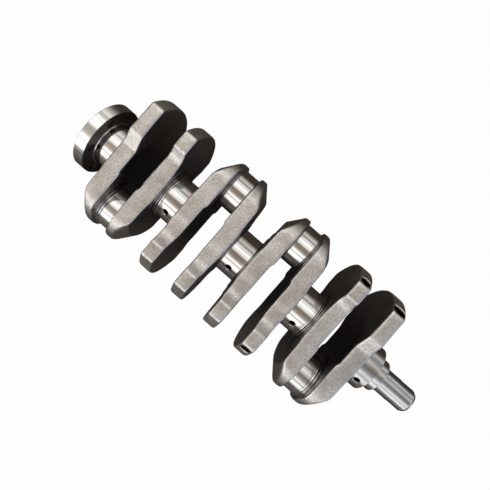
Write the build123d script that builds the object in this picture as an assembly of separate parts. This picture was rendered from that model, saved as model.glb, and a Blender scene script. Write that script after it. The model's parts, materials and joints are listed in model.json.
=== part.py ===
from build123d import *
from math import cos, radians, sin, sqrt
import os

# Forged crankshaft of an inline four with five main bearings, in millimetres.
# X is the crank axis, from the flywheel flange (-X) to the snout (+X).  The throws
# lie in the XY plane: pins 2 and 3 towards +Y, pins 1 and 4 towards -Y.  The origin
# is the centre of main journal 3.  Webs are numbered 1 to 8 from the snout.

# Driving dimensions
BORE_PITCH = 80.0
THROW = 46.5
MAIN_RADIUS = 24.0
PIN_RADIUS = 21.5
MAIN_HALF_LENGTH = 10.4
PIN_HALF_LENGTH = 8.7
JOURNAL_FILLET = 1.2
HALF_PITCH = BORE_PITCH / 2

# Web outline, seen along the crank axis
RIM_RADIUS = 70.5
WEIGHT_HALF = 45.5
CHEEK_HALF = 36.3
TIP_START = 44.0
TIP_REACH = 71.3
INNER_STEP_FOOT = 5.5
INNER_SWELL = (11.5, 37.0)
INNER_HOLLOW_START = (22.5, 37.1)
INNER_HOLLOW_END = (32.5, 40.74)
INNER_STEP_TOP = 38.2
END_STEP_TOP = 24.0
END_STEP_FOOT = 10.0

# Web faces, as distances along X from the main journal's centre
MAIN_RING_RADIUS = 31.0
MAIN_BOSS_FACE = 11.3
MAIN_BOSS_RADIUS = 38.5
MAIN_CONE_START = (12.2, 40.5)
MAIN_CONE_END = (13.2, 62.0)
BEVEL_START = (13.0, 55.5)
BEVEL_END = (26.4, 72.5)
PIN_RING_RADIUS = 29.0
PIN_PROUD_FACE = 30.0
PIN_RELIEF_FACE = 28.3
PIN_WEIGHT_FACE = 27.6
PIN_STEP = 13.5
OUTER_REACH = 90.0
CUT_DEPTH = 8.0

# How far a drilling's cutter runs past the surface that it opens in
RUN_OUT = 2.0

# Drillings
OIL_RADIUS = 2.75
OIL_MOUTH = 0.6
OIL_ANGLE = 129.0
FEED_RADIUS = 2.5
BALANCE_RADIUS = 5.0
BALANCE_DEPTH = 14.0
BALANCE_ANGLE = 34.0
BALANCE_WEBS = {1: (-1.6, 1.6), 2: (0.0,), 3: (0.0,)}

# Rear flange, seat for the timing drive, and snout
FLANGE_INNER_X = -171.0
FLANGE_OUTER_X = -183.2
FLANGE_RADIUS = 37.6
FLANGE_CHAMFER = 0.6
BOLT_CIRCLE_RADIUS = 29.0
BOLT_COUNT = 6
BOLT_HOLE_RADIUS = 4.5
DOWEL_RADIUS = 4.0
DOWEL_SHANK_RADIUS = 4.3
DOWEL_DEPTH = 10.0
DOWEL_PROUD = 5.0
DOWEL_CHAMFER = 0.7
MAIN_1_END_X = 168.5
SEAT_RADIUS = 17.0
SEAT_END_X = 180.6
KEYED_RADIUS = 12.5
KEYED_END_X = 201.0
SNOUT_RADIUS = 12.25
SNOUT_END_X = 218.4
SNOUT_LEAD = 2.4
SNOUT_LEAD_DROP = 1.3
THREAD_RADIUS = 5.1
THREAD_LENGTH = 30.0
THREAD_MOUTH = 1.2

# Woodruff key under the snout's keyed stretch
KEY_X = 191.0
KEY_RADIUS = 9.5
KEY_WIDTH = 5.0
KEY_SEAT = 5.5
KEY_HEIGHT = 7.5

# Pilot bearing pressed into the flange
BEARING_RADIUS = 16.0
BEARING_BORE = 6.0
BEARING_WIDTH = 10.0
BEARING_INSET = 0.7
BEARING_REAR_X = FLANGE_OUTER_X + BEARING_INSET
OUTER_RACE_SHOULDER = 13.2
INNER_RACE_SHOULDER = 8.8
BALL_CIRCLE = 11.0
BALL_RADIUS = 2.95
BALL_COUNT = 7
GROOVE_RADIUS = 3.05
CAGE_INNER = 10.3
CAGE_OUTER = 11.7
CAGE_HALF_WIDTH = 3.9
SHIELD_INNER = 9.2
SHIELD_THICKNESS = 0.4
SHIELD_FACE = 4.7
RELIEF_RADIUS = 9.0
RELIEF_DEPTH = 9.0
RACE_CHAMFER = 0.5

MAIN_X = {number: (3 - number) * BORE_PITCH for number in range(1, 6)}
PIN_X = {number: MAIN_X[number] - HALF_PITCH for number in range(1, 5)}
PIN_SIDE = {1: -1, 2: 1, 3: 1, 4: -1}


def save(node, shape):
    shape.label = node
    export_step(shape, os.path.join("parts", node + ".step"))


def turned(points):
    """A solid of revolution about X from (x, radius) points."""
    return revolve(make_face(Polyline(*points, close=True)), Axis.X, 360)


def along_x(radius, start, end):
    """A round bar about the crank axis between two X positions."""
    return Pos((start + end) / 2, 0, 0) * Rot(0, 90, 0) * Cylinder(radius, abs(end - start))


def radial_bar(x, angle, radius, inner, outer):
    """A round bar square to the crank axis; the angle is measured from +Y towards +Z."""
    bar = Pos(0, 0, (inner + outer) / 2) * Cylinder(radius, outer - inner)
    return Pos(x, 0, 0) * Rot(angle - 90, 0, 0) * bar


def web_face(end_web):
    """The closed outline of a web, with the pin towards the sketch's +X."""
    corner = (-sqrt(RIM_RADIUS ** 2 - WEIGHT_HALF ** 2), WEIGHT_HALF)
    if end_web:
        step_top = (-END_STEP_TOP, WEIGHT_HALF)
        step_foot = (-END_STEP_FOOT, CHEEK_HALF)
        step = [Line(step_top, step_foot)]
    else:
        # From the counterweight: a straight flank, a hollow, and a low swell down to the cheek
        step_top = (-INNER_STEP_TOP, WEIGHT_HALF)
        step_foot = (-INNER_STEP_FOOT, CHEEK_HALF)
        hollow_end = (-INNER_HOLLOW_END[0], INNER_HOLLOW_END[1])
        hollow_start = (-INNER_HOLLOW_START[0], INNER_HOLLOW_START[1])
        swell = (-INNER_SWELL[0], INNER_SWELL[1])
        step = [
            Line(step_top, hollow_end),
            TangentArc(hollow_start, hollow_end, tangent=(-1, 0)),
            Line(hollow_start, swell),
            Line(swell, step_foot),
        ]
    tip = EllipticalCenterArc((TIP_START, 0), TIP_REACH - TIP_START, CHEEK_HALF, 0, arc_size=90)
    upper = [Line(corner, step_top), *step, Line(step_foot, (TIP_START, CHEEK_HALF)), tip]
    lower = [mirror(edge, Plane.XZ) for edge in upper]
    rim = ThreePointArc(corner, (-RIM_RADIUS, 0), (corner[0], -corner[1]))
    return make_face([*upper, *lower, rim])


def make_web(end_web):
    """A web with its main journal centred at x = 0 and its crankpin at x = HALF_PITCH, +Y."""
    face = web_face(end_web)
    pin_face = HALF_PITCH - PIN_HALF_LENGTH
    blank = extrude(Plane.YZ * face, pin_face - MAIN_HALF_LENGTH)
    blank = Pos(MAIN_HALF_LENGTH, 0, 0) * blank

    # Main side: thrust ring, boss, and a shallow cone out to the rim
    start = MAIN_HALF_LENGTH - CUT_DEPTH
    main_cut = turned([
        (start, MAIN_RING_RADIUS),
        (MAIN_BOSS_FACE, MAIN_RING_RADIUS),
        (MAIN_BOSS_FACE, MAIN_BOSS_RADIUS),
        MAIN_CONE_START,
        MAIN_CONE_END,
        (MAIN_CONE_END[0], OUTER_REACH),
        (start, OUTER_REACH),
    ])

    # Conical bevel across the pin end
    bevel_profile = make_face(Polyline(
        (start, BEVEL_START[1]),
        BEVEL_START,
        BEVEL_END,
        (BEVEL_END[0], OUTER_REACH),
        (start, OUTER_REACH),
        close=True,
    ))
    bevel = revolve(Rot(-90, 0, 0) * bevel_profile, Axis.X, 180)

    # Pin side: proud pad round the pin, a step, and the lower counterweight face
    end = pin_face + CUT_DEPTH
    relief_profile = make_face(Polyline(
        (PIN_PROUD_FACE, OUTER_REACH),
        (PIN_PROUD_FACE, PIN_STEP + PIN_PROUD_FACE - PIN_RELIEF_FACE),
        (PIN_RELIEF_FACE, PIN_STEP),
        (PIN_RELIEF_FACE, -PIN_STEP),
        (PIN_WEIGHT_FACE, -INNER_STEP_TOP),
        (PIN_WEIGHT_FACE, -OUTER_REACH),
        (end, -OUTER_REACH),
        (end, OUTER_REACH),
        close=True,
    ))
    relief = extrude(relief_profile, OUTER_REACH, both=True)
    ring = Pos(0, THROW, 0) * along_x(PIN_RING_RADIUS, PIN_WEIGHT_FACE, pin_face)
    return blank - main_cut - bevel - (relief - ring)


def placed(web, main_x, toward_pin, pin_side):
    """Turn the standard web to its place; it is symmetric about z = 0, so turns are enough."""
    if toward_pin < 0:
        web = Rot(0, 180, 0) * web
    if pin_side < 0:
        web = Rot(180, 0, 0) * web
    return Pos(main_x, 0, 0) * web


def journal(radius, start, end, start_fillet, end_fillet):
    """A journal between two web faces, flared into each face by a rolled fillet."""
    outline = [Line((start, 0), (start, radius + start_fillet))]
    if start_fillet:
        tangent_point = (start + start_fillet, radius)
        outline.append(RadiusArc((start, radius + start_fillet), tangent_point, -start_fillet))
    outline.append(Line((start + start_fillet, radius), (end - end_fillet, radius)))
    if end_fillet:
        outline.append(RadiusArc((end - end_fillet, radius), (end, radius + end_fillet), -end_fillet))
    outline.append(Line((end, radius + end_fillet), (end, 0)))
    outline.append(Line((end, 0), (start, 0)))
    return revolve(make_face(outline), Axis.X, 360)


def oil_feed(number):
    """The slanting drilling from a main journal's centre to the outside of its crankpin."""
    start = Vector(MAIN_X[number], 0, 0)
    end = Vector(PIN_X[number], PIN_SIDE[number] * (THROW + PIN_RADIUS + RUN_OUT), 0)
    line = end - start
    plane = Plane(origin=(start + end) / 2, z_dir=line)
    return plane * Cylinder(FEED_RADIUS, line.length)


def cross_drilling(number):
    """The oil hole right through a main journal, with countersunk mouths."""
    x = MAIN_X[number]
    reach = MAIN_RADIUS + RUN_OUT
    hole = radial_bar(x, OIL_ANGLE, OIL_RADIUS, -reach, reach)
    for turn in (OIL_ANGLE, OIL_ANGLE + 180):
        sink = Pos(0, 0, MAIN_RADIUS - OIL_MOUTH) * Cone(OIL_RADIUS, OIL_RADIUS + 2 * OIL_MOUTH, 2 * OIL_MOUTH)
        hole += Pos(x, 0, 0) * Rot(turn - 90, 0, 0) * sink
    return hole


def balance_holes(number, main_x, toward_pin, pin_side):
    """The radial drillings in a counterweight's rim."""
    middle = main_x + toward_pin * (MAIN_CONE_END[0] + PIN_WEIGHT_FACE) / 2
    angle = BALANCE_ANGLE if pin_side < 0 else 180 - BALANCE_ANGLE
    inner = RIM_RADIUS - BALANCE_DEPTH
    holes = [
        radial_bar(middle + shift, angle, BALANCE_RADIUS, inner, RIM_RADIUS + RUN_OUT)
        for shift in BALANCE_WEBS[number]
    ]
    return holes


def ring_holes(count, circle, radius, start, end, first_angle):
    """Round holes along X on a circle."""
    holes = []
    for index in range(count):
        angle = radians(first_angle + index * 360 / count)
        holes.append(Pos(0, circle * cos(angle), circle * sin(angle)) * along_x(radius, start, end))
    return holes


def build_webs():
    inner_web = make_web(False)
    end_web = make_web(True)
    for number in range(1, 9):
        pin = (number + 1) // 2
        main = number // 2 + 1
        toward_pin = 1 if PIN_X[pin] > MAIN_X[main] else -1
        shape = end_web if number in (1, 8) else inner_web
        web = placed(shape, MAIN_X[main], toward_pin, PIN_SIDE[pin])
        if number in BALANCE_WEBS:
            for hole in balance_holes(number, MAIN_X[main], toward_pin, PIN_SIDE[pin]):
                web -= hole
        if main == pin:
            web -= oil_feed(pin)
        save(f"web_{number}", web)


def build_journals():
    for number, x in MAIN_X.items():
        start = x - MAIN_HALF_LENGTH
        end = x + MAIN_HALF_LENGTH
        end_fillet = JOURNAL_FILLET
        if number == 5:
            start = FLANGE_INNER_X
        if number == 1:
            end = MAIN_1_END_X
            end_fillet = 0
        bar = journal(MAIN_RADIUS, start, end, JOURNAL_FILLET, end_fillet)
        if number == 5:
            bar -= along_x(RELIEF_RADIUS, start, start + RELIEF_DEPTH)
        else:
            bar -= cross_drilling(number)
            bar -= oil_feed(number)
        save(f"main_journal_{number}", bar)
    for number, x in PIN_X.items():
        bar = journal(PIN_RADIUS, x - PIN_HALF_LENGTH, x + PIN_HALF_LENGTH, JOURNAL_FILLET, JOURNAL_FILLET)
        bar = Pos(0, PIN_SIDE[number] * THROW, 0) * bar - oil_feed(number)
        save(f"crankpin_{number}", bar)


def build_flange():
    flange = along_x(FLANGE_RADIUS, FLANGE_OUTER_X, FLANGE_INNER_X)
    flange = chamfer(flange.edges().filter_by(GeomType.CIRCLE), FLANGE_CHAMFER)
    flange -= along_x(BEARING_RADIUS, FLANGE_OUTER_X, FLANGE_INNER_X)
    for hole in ring_holes(BOLT_COUNT, BOLT_CIRCLE_RADIUS, BOLT_HOLE_RADIUS, FLANGE_OUTER_X, FLANGE_INNER_X, 0):
        flange -= hole
    dowel_place = Pos(0, 0, -BOLT_CIRCLE_RADIUS)
    shank = dowel_place * along_x(DOWEL_SHANK_RADIUS, FLANGE_OUTER_X, FLANGE_OUTER_X + DOWEL_DEPTH)
    save("rear_flange", flange - shank)
    tip_x = FLANGE_OUTER_X - DOWEL_PROUD
    dowel = turned([
        (tip_x, 0),
        (tip_x, DOWEL_RADIUS - DOWEL_CHAMFER),
        (tip_x + DOWEL_CHAMFER, DOWEL_RADIUS),
        (FLANGE_OUTER_X, DOWEL_RADIUS),
        (FLANGE_OUTER_X, DOWEL_SHANK_RADIUS),
        (FLANGE_OUTER_X + DOWEL_DEPTH, DOWEL_SHANK_RADIUS),
        (FLANGE_OUTER_X + DOWEL_DEPTH, 0),
    ])
    save("flange_dowel", dowel_place * dowel)


def build_front():
    seat = along_x(SEAT_RADIUS, MAIN_1_END_X, SEAT_END_X)
    seat = chamfer(seat.edges().filter_by(GeomType.CIRCLE).sort_by(Axis.X)[-1], FLANGE_CHAMFER)
    save("timing_drive_seat", seat)
    snout = turned([
        (SEAT_END_X, 0),
        (SEAT_END_X, KEYED_RADIUS),
        (KEYED_END_X, KEYED_RADIUS),
        (KEYED_END_X, SNOUT_RADIUS),
        (SNOUT_END_X - SNOUT_LEAD, SNOUT_RADIUS),
        (SNOUT_END_X, SNOUT_RADIUS - SNOUT_LEAD_DROP),
        (SNOUT_END_X, 0),
    ])
    snout -= along_x(THREAD_RADIUS, SNOUT_END_X - THREAD_LENGTH, SNOUT_END_X)
    mouth = turned([
        (SNOUT_END_X - THREAD_MOUTH, 0),
        (SNOUT_END_X - THREAD_MOUTH, THREAD_RADIUS),
        (SNOUT_END_X, THREAD_RADIUS + THREAD_MOUTH),
        (SNOUT_END_X, 0),
    ])
    snout -= mouth
    deepest = KEYED_RADIUS - KEY_SEAT
    disc = Pos(KEY_X, 0, -deepest - KEY_RADIUS) * Rot(90, 0, 0) * Cylinder(KEY_RADIUS, KEY_WIDTH)
    save("snout", snout - disc)
    flat_top = Pos(KEY_X, 0, -deepest - KEY_HEIGHT / 2) * Box(2 * KEY_RADIUS, KEY_WIDTH, KEY_HEIGHT)
    save("snout_key", disc & flat_top)


def build_pilot_bearing():
    rear = BEARING_REAR_X
    front = BEARING_REAR_X + BEARING_WIDTH
    middle = (rear + front) / 2
    groove = Pos(middle, 0, 0) * Rot(0, 90, 0) * Torus(BALL_CIRCLE, GROOVE_RADIUS)
    outer = along_x(BEARING_RADIUS, rear, front)
    outer = chamfer(outer.edges().filter_by(GeomType.CIRCLE), RACE_CHAMFER)
    outer = outer - along_x(OUTER_RACE_SHOULDER, rear, front) - groove
    save("pilot_bearing_outer_race", outer)
    inner = along_x(INNER_RACE_SHOULDER, rear, front) - along_x(BEARING_BORE, rear, front) - groove
    save("pilot_bearing_inner_race", inner)

    cage = along_x(CAGE_OUTER, middle - CAGE_HALF_WIDTH, middle + CAGE_HALF_WIDTH)
    cage -= along_x(CAGE_INNER, middle - CAGE_HALF_WIDTH, middle + CAGE_HALF_WIDTH)
    balls = []
    for index in range(BALL_COUNT):
        angle = radians(90 + index * 360 / BALL_COUNT)
        place = Pos(middle, BALL_CIRCLE * cos(angle), BALL_CIRCLE * sin(angle))
        cage -= place * Sphere(GROOVE_RADIUS)
        balls.append(place * Sphere(BALL_RADIUS))
    save("pilot_bearing_cage", cage)
    save("pilot_bearing_balls", Compound(children=balls))

    shields = []
    for side in (-1, 1):
        edge = middle + side * SHIELD_FACE
        other = edge - side * SHIELD_THICKNESS
        start, end = min(edge, other), max(edge, other)
        shields.append(along_x(OUTER_RACE_SHOULDER, start, end) - along_x(SHIELD_INNER, start, end))
    save("pilot_bearing_shields", Compound(children=shields))


os.makedirs("parts", exist_ok=True)
build_webs()
build_journals()
build_flange()
build_front()
build_pilot_bearing()
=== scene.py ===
import json
import math

import bpy
from mathutils import Matrix, Vector


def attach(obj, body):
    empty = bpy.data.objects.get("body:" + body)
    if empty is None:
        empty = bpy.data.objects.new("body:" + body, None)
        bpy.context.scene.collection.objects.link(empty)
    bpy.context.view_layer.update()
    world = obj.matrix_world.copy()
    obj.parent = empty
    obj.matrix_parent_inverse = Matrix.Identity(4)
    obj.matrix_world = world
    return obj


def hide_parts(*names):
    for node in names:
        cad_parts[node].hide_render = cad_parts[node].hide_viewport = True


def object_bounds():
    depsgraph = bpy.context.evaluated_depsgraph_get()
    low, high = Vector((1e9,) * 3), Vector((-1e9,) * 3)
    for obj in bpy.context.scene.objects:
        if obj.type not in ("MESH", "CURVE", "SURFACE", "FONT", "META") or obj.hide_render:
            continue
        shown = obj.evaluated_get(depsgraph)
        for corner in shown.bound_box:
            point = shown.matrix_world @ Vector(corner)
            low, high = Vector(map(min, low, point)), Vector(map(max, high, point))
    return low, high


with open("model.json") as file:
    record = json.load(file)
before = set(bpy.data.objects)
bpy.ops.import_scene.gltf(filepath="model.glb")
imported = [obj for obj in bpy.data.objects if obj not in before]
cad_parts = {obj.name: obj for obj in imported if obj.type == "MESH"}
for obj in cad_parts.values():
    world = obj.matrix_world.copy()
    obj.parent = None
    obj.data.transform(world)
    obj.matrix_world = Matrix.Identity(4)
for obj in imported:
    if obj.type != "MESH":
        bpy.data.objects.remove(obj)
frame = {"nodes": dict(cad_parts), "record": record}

CAD_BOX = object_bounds()
NODES = frame["nodes"]
MOUNTS = {mount["name"]: mount for mount in frame["record"]["mounts"]}

# Camera: straight above the shaft, long axis of the shaft running down to the right
IMAGE_PIXELS = 490
SENSOR_MM = 36.0
FOCAL_PIXELS = 375.6
SHAFT_SLOPE = math.radians(41.3)
CAMERA_PLACE = Vector((0.00623, 0.01986, 0.37395))
CAMERA_LOOK = Vector((-0.02359, -0.02300, -0.99946))
SHAFT_ROLL = Vector((0.99972, -0.00255, -0.02354))

MM = 0.001
FLOOR_GAP = 0.2 * MM
FLOOR_HALF = 1.5

# Studio: brightness of the sky against the angle from straight up, positive towards +Y
WHITE = (1.0, 1.0, 0.99)
CREAM = (1.0, 0.95, 0.88)
BROWN = (1.0, 0.86, 0.74)
COLD = (0.97, 0.97, 1.0)
SKY = (
    (-150, 0.06, BROWN),
    (-120, 0.07, BROWN),
    (-102, 0.20, CREAM),
    (-92, 0.15, CREAM),
    (-84, 0.08, CREAM),
    (-77, 0.28, WHITE),
    (-70, 1.4, WHITE),
    (-64, 1.9, WHITE),
    (-56, 1.8, WHITE),
    (-50, 0.98, WHITE),
    (-45, 0.75, WHITE),
    (-36, 1.7, WHITE),
    (-31, 1.1, CREAM),
    (-25, 0.55, BROWN),
    (-18, 0.35, BROWN),
    (-8, 0.26, BROWN),
    (0, 0.27, BROWN),
    (5, 0.62, CREAM),
    (9, 1.25, CREAM),
    (16, 1.05, CREAM),
    (25, 1.8, WHITE),
    (31, 0.95, WHITE),
    (34, 0.78, WHITE),
    (38, 1.25, WHITE),
    (43, 0.62, WHITE),
    (50, 0.36, WHITE),
    (55, 0.40, WHITE),
    (60, 0.90, CREAM),
    (65, 0.68, CREAM),
    (76, 0.34, BROWN),
    (84, 0.09, BROWN),
    (125, 0.04, BROWN),
)
# The same towards the snout, where the soft boxes end and the light is fainter and colder
FRONT_SKY = (
    (-150, 0.50, COLD),
    (-118, 0.12, CREAM),
    (-95, 0.22, COLD),
    (-84, 0.35, COLD),
    (-70, 1.05, COLD),
    (-60, 1.2, COLD),
    (-48, 0.70, COLD),
    (-42, 0.70, COLD),
    (-35, 1.15, COLD),
    (-27, 0.98, COLD),
    (-19, 0.58, COLD),
    (-11, 0.38, COLD),
    (-2, 0.24, COLD),
    (7, 0.22, CREAM),
    (15, 0.33, CREAM),
    (21, 0.50, CREAM),
    (29, 0.72, CREAM),
    (38, 0.52, COLD),
    (53, 0.32, COLD),
    (62, 0.48, COLD),
    (70, 0.75, COLD),
    (78, 0.52, COLD),
    (88, 0.18, CREAM),
    (110, 0.07, BROWN),
)
FRONT_STARTS, FRONT_FULL = 0.20, 0.42
FRONT_LEVEL = 0.84
# Ends of the sky: where each tint starts and is full, by the X part of the direction
COOL_END = (0.52, 0.60, 0.76)
COOL_STARTS, COOL_FULL = 0.6, 0.8
BACK_LIFT = (0.24, 0.235, 0.22)
BACK_STARTS, BACK_FULL = -0.2, -0.45
WARM_END = (0.26, 0.215, 0.185)
WARM_STARTS, WARM_FULL = -0.6, -0.9
# Below the horizon, blended over this much of the Z part of the direction
GROUND = (0.012, 0.01, 0.009)
HORIZON_BLEND = 0.05
# Bench: glow of the floor against the distance from the shaft, in metres along Y
BENCH_HALF = 0.4
BENCH = (
    (-0.35, (0.17, 0.155, 0.145)),
    (-0.15, (0.11, 0.10, 0.095)),
    (-0.06, (0.045, 0.04, 0.036)),
    (-0.02, (0.010, 0.009, 0.009)),
    (0.02, (0.012, 0.010, 0.009)),
    (0.08, (0.048, 0.038, 0.031)),
    (0.35, (0.060, 0.048, 0.040)),
)
BENCH_ENDS = (0.35, 0.7)
BENCH_END_GLOW = (0.20, 0.185, 0.175)
PAPER = (0.985, 0.985, 0.985)

# Turned part of the flange: its rear face and its rim, each with the blend into forging skin
FLANGE_REAR = MOUNTS["flywheel_face"]["pos_m"][0]
FLANGE_RIM = 37.6 * MM
REAR_BLEND = (0.1 * MM, 0.4 * MM)
RIM_BLEND = (1.6 * MM, 1.0 * MM)
# Journals and pins: radii, the pins' distance from the shaft's line, and the machined rings
# round them on the webs, drawn a little wide; then the radius of the counterweights
MAIN_JOURNAL = MOUNTS["main_journal_3"]["dims"]["r_mm"] * MM
CRANKPIN = MOUNTS["crankpin_1"]["dims"]["r_mm"] * MM
PIN_OFFSET = abs(MOUNTS["crankpin_1"]["pos_m"][1])
MAIN_RING = 31.5 * MM
PIN_RING = 29.2 * MM
RING_BLEND = 3.0 * MM
RIM_RADIUS = 70.5 * MM
# Webs, counted from the snout, two to each crankpin, with the side of the shaft its pin is on
PIN_SIDE = {
    web: math.copysign(1, MOUNTS[f"crankpin_{(web + 1) // 2}"]["pos_m"][1]) for web in range(1, 9)
}
# Skin of the forgings: size of its mesh, rounds of smoothing, and how far that acts
VOXEL = 0.8 * MM
SOFTENING = 30
SOFTENING_STEP = 0.5
MACHINED_SOFTNESS = 0.3
HOLLOW_HOLD = 0.8
# Balance drillings: radius with 0.1 mm to spare, slope, depth, and how far below the rim
# their zone ends, which is painted dark as shade
BALANCE_DRILL = 5.1 * MM
BALANCE_SLOPE = math.radians(34)
DRILL_DEPTH = 14.0 * MM
DRILL_MOUTH = 0.8 * MM
# Middle of the drilled webs along X, and the drillings' offsets from it
DRILL_MIDDLE = {1: 139.6 * MM, 2: 100.4 * MM, 3: 59.6 * MM}
DRILL_SHIFTS = {1: (-1.6 * MM, 1.6 * MM), 2: (0.0,), 3: (0.0,)}

# Tool marks run round the shaft: noise squeezed along X against the other two directions
TOOL_MARKS = (1.0, 0.012, 0.012)
FINE_GRAIN = 300.0


# ---------------------------------------------------------------- node helpers

class Graph:
    """Small helper for building a material's nodes."""

    def __init__(self, name, world=False):
        kind = "World" if world else "Material"
        self.material = (bpy.data.worlds if world else bpy.data.materials).new(name)
        self.material.use_nodes = True
        self.tree = self.material.node_tree
        self.tree.nodes.clear()
        self.output = self.tree.nodes.new("ShaderNodeOutput" + kind)
        source = self.tree.nodes.new("ShaderNodeTexCoord")
        self.coords = source.outputs["Generated" if world else "Object"]
        self.normals = source.outputs["Normal"]

    def node(self, kind, settings=None, **inputs):
        made = self.tree.nodes.new(kind)
        for key, value in (settings or {}).items():
            setattr(made, key, value)
        for key, value in inputs.items():
            self.feed(made, key.replace("_", " "), value)
        return made

    def feed(self, target, socket, value):
        if isinstance(value, bpy.types.NodeSocket):
            self.tree.links.new(value, target.inputs[socket])
        else:
            target.inputs[socket].default_value = value

    def stretched(self, scale):
        mapping = self.node("ShaderNodeMapping", Vector=self.coords)
        mapping.inputs["Scale"].default_value = scale
        return mapping.outputs["Vector"]

    def noise(self, scale, detail, roughness, vector=None):
        """Noise whose largest marks are about 1 / scale metres wide."""
        made = self.node("ShaderNodeTexNoise", Vector=vector or self.coords, Scale=scale,
                         Detail=detail, Roughness=roughness)
        return made.outputs["Fac"]

    def ramp(self, factor, stops):
        made = self.node("ShaderNodeValToRGB", Fac=factor)
        ramp = made.color_ramp
        while len(ramp.elements) < len(stops):
            ramp.elements.new(0.5)
        for element, (place, colour) in zip(ramp.elements, stops):
            element.position = place
            element.color = (*colour, 1.0)
        return made.outputs["Color"]

    def levels(self, factor, low, high, out_low, out_high):
        """out_low at low and below, out_high at high and beyond, straight between."""
        made = self.node("ShaderNodeMapRange", Value=factor)
        ends = {"From Min": low, "From Max": high, "To Min": out_low, "To Max": out_high}
        for socket, value in ends.items():
            made.inputs[socket].default_value = value
        return made.outputs["Result"]

    def mix(self, factor, first, second, mode="MIX"):
        """Two colours mixed, or with "ADD" the second added to the first."""
        made = self.tree.nodes.new("ShaderNodeMix")
        made.data_type = "RGBA"
        made.blend_type = mode
        for socket, value in ((0, factor), (6, first), (7, second)):
            if isinstance(value, bpy.types.NodeSocket):
                self.tree.links.new(value, made.inputs[socket])
            elif socket == 0:
                made.inputs[socket].default_value = value
            else:
                made.inputs[socket].default_value = (*value, 1.0)
        return made.outputs[2]

    def between(self, factor, first, second):
        """The same for two plain values."""
        made = self.tree.nodes.new("ShaderNodeMix")
        for socket, value in ((0, factor), (2, first), (3, second)):
            if isinstance(value, bpy.types.NodeSocket):
                self.tree.links.new(value, made.inputs[socket])
            else:
                made.inputs[socket].default_value = value
        return made.outputs[0]

    def split(self, vector):
        made = self.node("ShaderNodeSeparateXYZ", Vector=vector)
        return tuple(made.outputs[axis] for axis in "XYZ")

    def end_on(self):
        """1 on faces square to the shaft, 0 on faces along it."""
        return self.maths("ABSOLUTE", self.split(self.normals)[0])

    def zone(self, name):
        """A finish zone that the mesh carries as a number at each vertex."""
        return self.node("ShaderNodeAttribute", {"attribute_name": name}).outputs["Fac"]

    def radius(self, first, second):
        """Distance from the axis that two coordinates are measured from."""
        squares = [self.maths("MULTIPLY", part, part) for part in (first, second)]
        return self.maths("SQRT", self.maths("ADD", *squares))

    def maths(self, operation, *values):
        made = self.tree.nodes.new("ShaderNodeMath")
        made.operation = operation
        for index, value in enumerate(values):
            if isinstance(value, bpy.types.NodeSocket):
                self.tree.links.new(value, made.inputs[index])
            else:
                made.inputs[index].default_value = value
        return made.outputs[0]

    def bump(self, height, strength, distance, under=None):
        made = self.node("ShaderNodeBump", Height=height, Strength=strength, Distance=distance)
        if under is not None:
            self.tree.links.new(under, made.inputs["Normal"])
        return made.outputs["Normal"]

    def split_by_ray(self, for_light, for_camera):
        """Stage only: one shader for light that reaches the object, one for the backdrop."""
        path = self.node("ShaderNodeLightPath")
        mix = self.node("ShaderNodeMixShader")
        self.tree.links.new(path.outputs["Is Camera Ray"], mix.inputs[0])
        self.tree.links.new(for_light, mix.inputs[1])
        self.tree.links.new(for_camera, mix.inputs[2])
        self.tree.links.new(mix.outputs[0], self.output.inputs["Surface"])

    def finish(self, **inputs):
        """The surface shader with these inputs, and the material it completes."""
        shader = self.node("ShaderNodeBsdfPrincipled")
        for key, value in inputs.items():
            self.feed(shader, key.replace("_", " "), value)
        self.tree.links.new(shader.outputs[0], self.output.inputs["Surface"])
        return self.material


def forged_steel():
    """Blasted forging skin and machined rings, with painted highlights on the edges and painted
    shade on the cheeks and in the drillings.
    """
    g = Graph("forged_steel")
    grain = g.noise(1300.0, 2.0, 0.6)
    speckle = g.noise(520.0, 3.0, 0.7)
    cloud = g.noise(45.0, 5.0, 0.65)
    lathe = g.noise(700.0, 2.0, 0.6)
    machined = g.zone("machined")
    hollow = g.zone("hollow")
    tone = g.ramp(cloud, [(0.34, (0.66, 0.62, 0.585)), (0.66, (0.95, 0.925, 0.90))])
    tone = g.mix(g.levels(grain, 0.4, 0.62, 0.0, 0.6), tone, (0.46, 0.425, 0.395))
    tone = g.mix(g.levels(speckle, 0.46, 0.68, 0.0, 0.6), tone, (0.40, 0.37, 0.345))
    tone = g.mix(g.levels(speckle, 0.42, 0.28, 0.0, 0.5), tone, (0.92, 0.91, 0.90))
    # Painted highlight: a light tone on the sharp edges, where rounded rims would catch the
    # bright boxes
    painted_edge_highlight = g.levels(g.node("ShaderNodeNewGeometry").outputs["Pointiness"], 0.505, 0.54, 0.0, 0.6)
    tone = g.mix(painted_edge_highlight, tone, (0.90, 0.89, 0.88))
    turned = g.ramp(lathe, [(0.3, (0.62, 0.60, 0.58)), (0.7, (0.72, 0.70, 0.68))])
    tone = g.mix(machined, tone, turned)
    # Painted shade: faces square to the shaft, which face the neighbouring webs, are darkened
    painted_cheek_shade = g.levels(g.end_on(), 0.75, 0.95, 0.0, 0.6)
    tone = g.mix(painted_cheek_shade, tone, (0.16, 0.15, 0.15))
    # Painted shade: inside the balance drillings the tone is darkened
    tone = g.mix(hollow, tone, (0.09, 0.075, 0.065))
    rough = g.levels(cloud, 0.3, 0.7, 0.33, 0.45)
    rough = g.maths("SUBTRACT", rough, g.maths("MULTIPLY", painted_edge_highlight, 0.1))
    rough = g.between(machined, rough, 0.22)
    skin = g.maths("SUBTRACT", 1.0, machined)
    normal = g.bump(g.maths("MULTIPLY", speckle, skin), 0.55, 0.35 * MM)
    normal = g.bump(g.maths("MULTIPLY", grain, skin), 0.6, 0.12 * MM, normal)
    return g.finish(Base_Color=tone, Roughness=rough, Metallic=1.0, Normal=normal)


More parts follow.
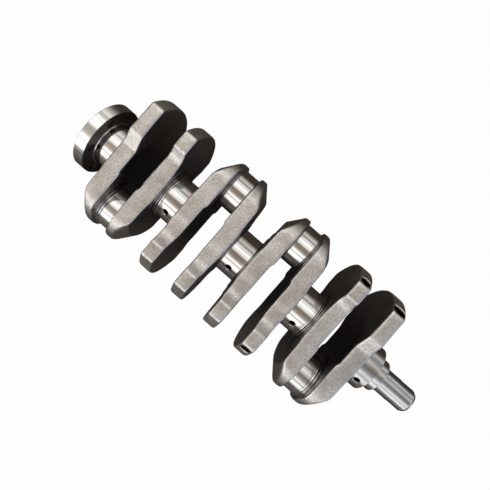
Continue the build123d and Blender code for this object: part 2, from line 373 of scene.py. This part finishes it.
def ground_steel():
    """Ground journals and pins, with painted shade inside the oil drillings."""
    g = Graph("ground_steel")
    rings = g.noise(900.0, 3.0, 0.7, g.stretched(TOOL_MARKS))
    cloud = g.noise(60.0, 3.0, 0.5)
    y, z = g.split(g.coords)[1:]
    main = g.maths("DIVIDE", g.radius(y, z), MAIN_JOURNAL)
    beside = g.maths("SUBTRACT", g.maths("ABSOLUTE", y), PIN_OFFSET)
    pin = g.maths("DIVIDE", g.radius(beside, z), CRANKPIN)
    # Painted shade: inside the oil drillings, though not on end faces, the tone is darkened
    hollow = g.levels(g.maths("MINIMUM", main, pin), 0.95, 0.975, 1.0, 0.0)
    hollow = g.maths("MULTIPLY", hollow, g.levels(g.end_on(), 0.9, 0.99, 1.0, 0.0))
    tone = g.ramp(cloud, [(0.3, (0.68, 0.66, 0.64)), (0.7, (0.78, 0.765, 0.75))])
    tone = g.mix(hollow, tone, (0.03, 0.026, 0.024))
    rough = g.levels(rings, 0.3, 0.7, 0.075, 0.125)
    normal = g.bump(rings, 0.06, 0.01 * MM)
    return g.finish(Base_Color=tone, Roughness=rough, Metallic=1.0, Normal=normal)


def turned_steel():
    """Turned and polished seat and snout."""
    g = Graph("turned_steel")
    rings = g.noise(700.0, 3.0, 0.7, g.stretched(TOOL_MARKS))
    cloud = g.noise(60.0, 3.0, 0.5)
    tone = g.ramp(cloud, [(0.3, (0.79, 0.79, 0.79)), (0.7, (0.89, 0.89, 0.895))])
    rough = g.levels(rings, 0.3, 0.7, 0.08, 0.14)
    normal = g.bump(rings, 0.05, 0.01 * MM)
    return g.finish(Base_Color=tone, Roughness=rough, Metallic=1.0, Normal=normal)


def flange_steel():
    """Turned rim and rear face; towards the webs and in the holes the forging skin stays,
    darkened with painted shade.
    """
    g = Graph("flange_steel")
    rings = g.noise(600.0, 3.0, 0.7, g.stretched(TOOL_MARKS))
    grain = g.noise(900.0, 3.0, 0.6)
    cloud = g.noise(60.0, 3.0, 0.5)
    x, y, z = g.split(g.coords)
    facing = g.split(g.normals)[0]
    within = g.levels(g.radius(y, z), *(FLANGE_RIM - inset for inset in RIM_BLEND), 1.0, 0.0)
    ahead = g.levels(x, *(FLANGE_REAR + inset for inset in REAR_BLEND), 0.0, 1.0)
    shaded_skin_inside = g.maths("MULTIPLY", within, ahead)
    skin = g.maths("MAXIMUM", shaded_skin_inside, g.levels(facing, 0.3, 0.6, 0.0, 1.0))
    bright = g.ramp(cloud, [(0.3, (0.72, 0.715, 0.70)), (0.7, (0.80, 0.795, 0.785))])
    # Painted shade: the skin mask gives the face towards the webs and the hole walls a near-black
    # tone
    dark = g.ramp(grain, [(0.3, (0.10, 0.085, 0.075)), (0.7, (0.17, 0.15, 0.135))])
    tone = g.mix(skin, bright, dark)
    turned = g.levels(rings, 0.3, 0.7, 0.09, 0.15)
    forged = g.levels(grain, 0.3, 0.7, 0.45, 0.6)
    rough = g.between(skin, turned, forged)
    normal = g.bump(rings, 0.05, 0.01 * MM)
    return g.finish(Base_Color=tone, Roughness=rough, Metallic=1.0, Normal=normal)


def fine_metal(name, dark, light, rough_low, rough_high):
    """Even, finely finished metal of the small pieces."""
    g = Graph(name)
    grain = g.noise(FINE_GRAIN, 4.0, 0.6)
    tone = g.ramp(grain, [(0.3, dark), (0.7, light)])
    rough = g.levels(grain, 0.3, 0.7, rough_low, rough_high)
    normal = g.bump(grain, 0.15, 0.05 * MM)
    return g.finish(Base_Color=tone, Roughness=rough, Metallic=1.0, Normal=normal)


def dress_nodes():
    """Each CAD piece in its slot's material; the flange has its own version of turned steel."""
    small_metals = {
        "bearing_steel": ((0.68, 0.68, 0.69), (0.78, 0.78, 0.79), 0.08, 0.16),
        "cage_brass": ((0.55, 0.40, 0.18), (0.70, 0.53, 0.26), 0.25, 0.4),
        "shield_steel": ((0.45, 0.45, 0.46), (0.56, 0.56, 0.57), 0.25, 0.4),
        "key_steel": ((0.30, 0.30, 0.31), (0.42, 0.42, 0.43), 0.3, 0.45),
    }
    materials = {name: fine_metal(name, *look) for name, look in small_metals.items()}
    materials["forged_steel"] = forged_steel()
    materials["ground_steel"] = ground_steel()
    materials["turned_steel"] = turned_steel()
    for part in frame["record"]["subparts"]:
        mesh = NODES[part["node"]].data
        mesh.materials.clear()
        mesh.materials.append(materials[part["material_slot"]])
    NODES["rear_flange"].data.materials[0] = flange_steel()


# ---------------------------------------------------------------- softened forgings

def fade(value, low, high):
    """0 below low, 1 above high, straight between."""
    return min(1.0, max(0.0, (value - low) / (high - low)))


def finish_zones(number, point):
    """How far a point of a web is machined, and whether it lies inside a balance drilling."""
    main = math.hypot(point.y, point.z)
    pin = math.hypot(point.y - PIN_SIDE[number] * PIN_OFFSET, point.z)
    rings = ((main, MAIN_RING), (pin, PIN_RING))
    skin = min(fade(distance, ring, ring + RING_BLEND) for distance, ring in rings)
    hollow = 0.0
    if number in DRILL_MIDDLE:
        # The drilling points up and away from the pin
        across = -PIN_SIDE[number] * math.cos(BALANCE_SLOPE)
        up = math.sin(BALANCE_SLOPE)
        along = point.y * across + point.z * up
        beside = point.y * up - point.z * across
        aside = min(math.hypot(point.x - DRILL_MIDDLE[number] - shift, beside)
                    for shift in DRILL_SHIFTS[number])
        above_foot = along > RIM_RADIUS - DRILL_DEPTH - BALANCE_DRILL
        if above_foot and aside < BALANCE_DRILL and main < RIM_RADIUS - DRILL_MOUTH:
            hollow = 1.0
    return 1.0 - skin, hollow


def evaluated_mesh(piece, name):
    """The piece's mesh with its modifiers applied."""
    bpy.context.view_layer.update()
    applied = piece.evaluated_get(bpy.context.evaluated_depsgraph_get())
    shaped = bpy.data.meshes.new_from_object(applied)
    shaped.name = name
    piece.modifiers.clear()
    piece.data = shaped
    return shaped


def softened_webs():
    """Each web again, with the soft edges of a forging, in place of its sharp CAD solid."""
    for number in PIN_SIDE:
        node = f"web_{number}"
        name = f"forging_{number}"
        source = NODES[node]
        piece = bpy.data.objects.new(name, source.data.copy())
        bpy.context.scene.collection.objects.link(piece)
        remesh = piece.modifiers.new("even_skin", "REMESH")
        remesh.mode = "VOXEL"
        remesh.voxel_size = VOXEL
        shaped = evaluated_mesh(piece, name)
        soft = piece.vertex_groups.new(name="soft")
        zones = [finish_zones(number, vertex.co) for vertex in shaped.vertices]
        for index, (machined, hollow) in enumerate(zones):
            weight = max(MACHINED_SOFTNESS, 1.0 - machined) * (1.0 - HOLLOW_HOLD * hollow)
            soft.add([index], weight, "REPLACE")
        smooth = piece.modifiers.new("soft_edges", "SMOOTH")
        smooth.factor = SOFTENING_STEP
        smooth.iterations = SOFTENING
        smooth.vertex_group = "soft"
        shaped = evaluated_mesh(piece, name)
        piece.vertex_groups.clear()
        for title, values in zip(("machined", "hollow"), zip(*zones)):
            attribute = shaped.attributes.new(title, "FLOAT", "POINT")
            attribute.data.foreach_set("value", values)
        for polygon in shaped.polygons:
            polygon.use_smooth = True
        shaped.materials.clear()
        shaped.materials.append(source.data.materials[0])
        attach(piece, "crankshaft")
        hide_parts(node)


# ---------------------------------------------------------------- stage

def floor():
    """A pale floor that the camera sees as even white and the steel sees as a dark bench."""
    low = CAD_BOX[0][2] - FLOOR_GAP
    mesh = bpy.data.meshes.new("floor")
    signs = [(-1, -1), (1, -1), (1, 1), (-1, 1)]
    corners = [(x * FLOOR_HALF, y * FLOOR_HALF, low) for x, y in signs]
    mesh.from_pydata(corners, [], [(0, 1, 2, 3)])
    piece = bpy.data.objects.new("floor", mesh)
    bpy.context.scene.collection.objects.link(piece)
    g = Graph("floor")
    x, y = g.split(g.coords)[:2]
    across = g.levels(y, -BENCH_HALF, BENCH_HALF, 0.0, 1.0)
    glow = g.ramp(across, [(0.5 + 0.5 * place / BENCH_HALF, colour) for place, colour in BENCH])
    far = g.levels(g.maths("ABSOLUTE", x), *BENCH_ENDS, 0.0, 1.0)
    glow = g.mix(far, glow, BENCH_END_GLOW)
    bench = g.node("ShaderNodeEmission", Color=glow, Strength=1.0).outputs[0]
    paper = g.node("ShaderNodeEmission", Color=(*PAPER, 1.0), Strength=1.0).outputs[0]
    g.split_by_ray(bench, paper)
    mesh.materials.append(g.material)


def sky_bands(g, turn, sky, scale=1.0):
    """The sky's colour from its list of angles, brightnesses and tints."""
    stops = []
    for degrees, level, tint in sky:
        stops.append((0.5 + degrees / 360, tuple(scale * level * part for part in tint)))
    return g.ramp(turn, stops)


def studio():
    """Long soft boxes parallel to the shaft, as a sky that changes with the angle round X."""
    g = Graph("studio", world=True)
    x, y, z = g.split(g.coords)
    turn = g.levels(g.maths("ARCTAN2", y, z), -math.pi, math.pi, 0.0, 1.0)
    above = sky_bands(g, turn, SKY)
    ahead = sky_bands(g, turn, FRONT_SKY, FRONT_LEVEL)
    sky = g.mix(g.levels(x, FRONT_STARTS, FRONT_FULL, 0.0, 1.0), above, ahead)
    sky = g.mix(g.levels(x, COOL_STARTS, COOL_FULL, 0.0, 1.0), sky, COOL_END)
    sky = g.mix(g.levels(x, BACK_STARTS, BACK_FULL, 0.0, 1.0), sky, BACK_LIFT, "ADD")
    sky = g.mix(g.levels(x, WARM_FULL, WARM_STARTS, 1.0, 0.0), sky, WARM_END)
    sky = g.mix(g.levels(z, -HORIZON_BLEND, HORIZON_BLEND, 0.0, 1.0), GROUND, sky)
    light = g.node("ShaderNodeBackground", Color=sky, Strength=1.0).outputs[0]
    paper = g.node("ShaderNodeBackground", Color=(*PAPER, 1.0), Strength=1.0).outputs[0]
    g.split_by_ray(light, paper)
    bpy.context.scene.world = g.material


def camera():
    """Almost straight above the shaft, turned so that the snout points down to the right."""
    data = bpy.data.cameras.new("camera")
    data.sensor_width = SENSOR_MM
    data.lens = SENSOR_MM * FOCAL_PIXELS / IMAGE_PIXELS
    data.clip_start = 0.01
    place = bpy.data.objects.new("camera", data)
    bpy.context.scene.collection.objects.link(place)
    back = -CAMERA_LOOK.normalized()
    along = SHAFT_ROLL.normalized()
    across = back.cross(along)
    right = math.cos(SHAFT_SLOPE) * along + math.sin(SHAFT_SLOPE) * across
    up = back.cross(right)
    turn = Matrix((right, up, back)).transposed()
    place.matrix_world = Matrix.Translation(CAMERA_PLACE) @ turn.to_4x4()
    bpy.context.scene.camera = place


def main():
    scene = bpy.context.scene
    scene.view_settings.view_transform = "Standard"
    scene.view_settings.look = "None"
    camera()
    dress_nodes()
    softened_webs()
    floor()
    studio()


main()
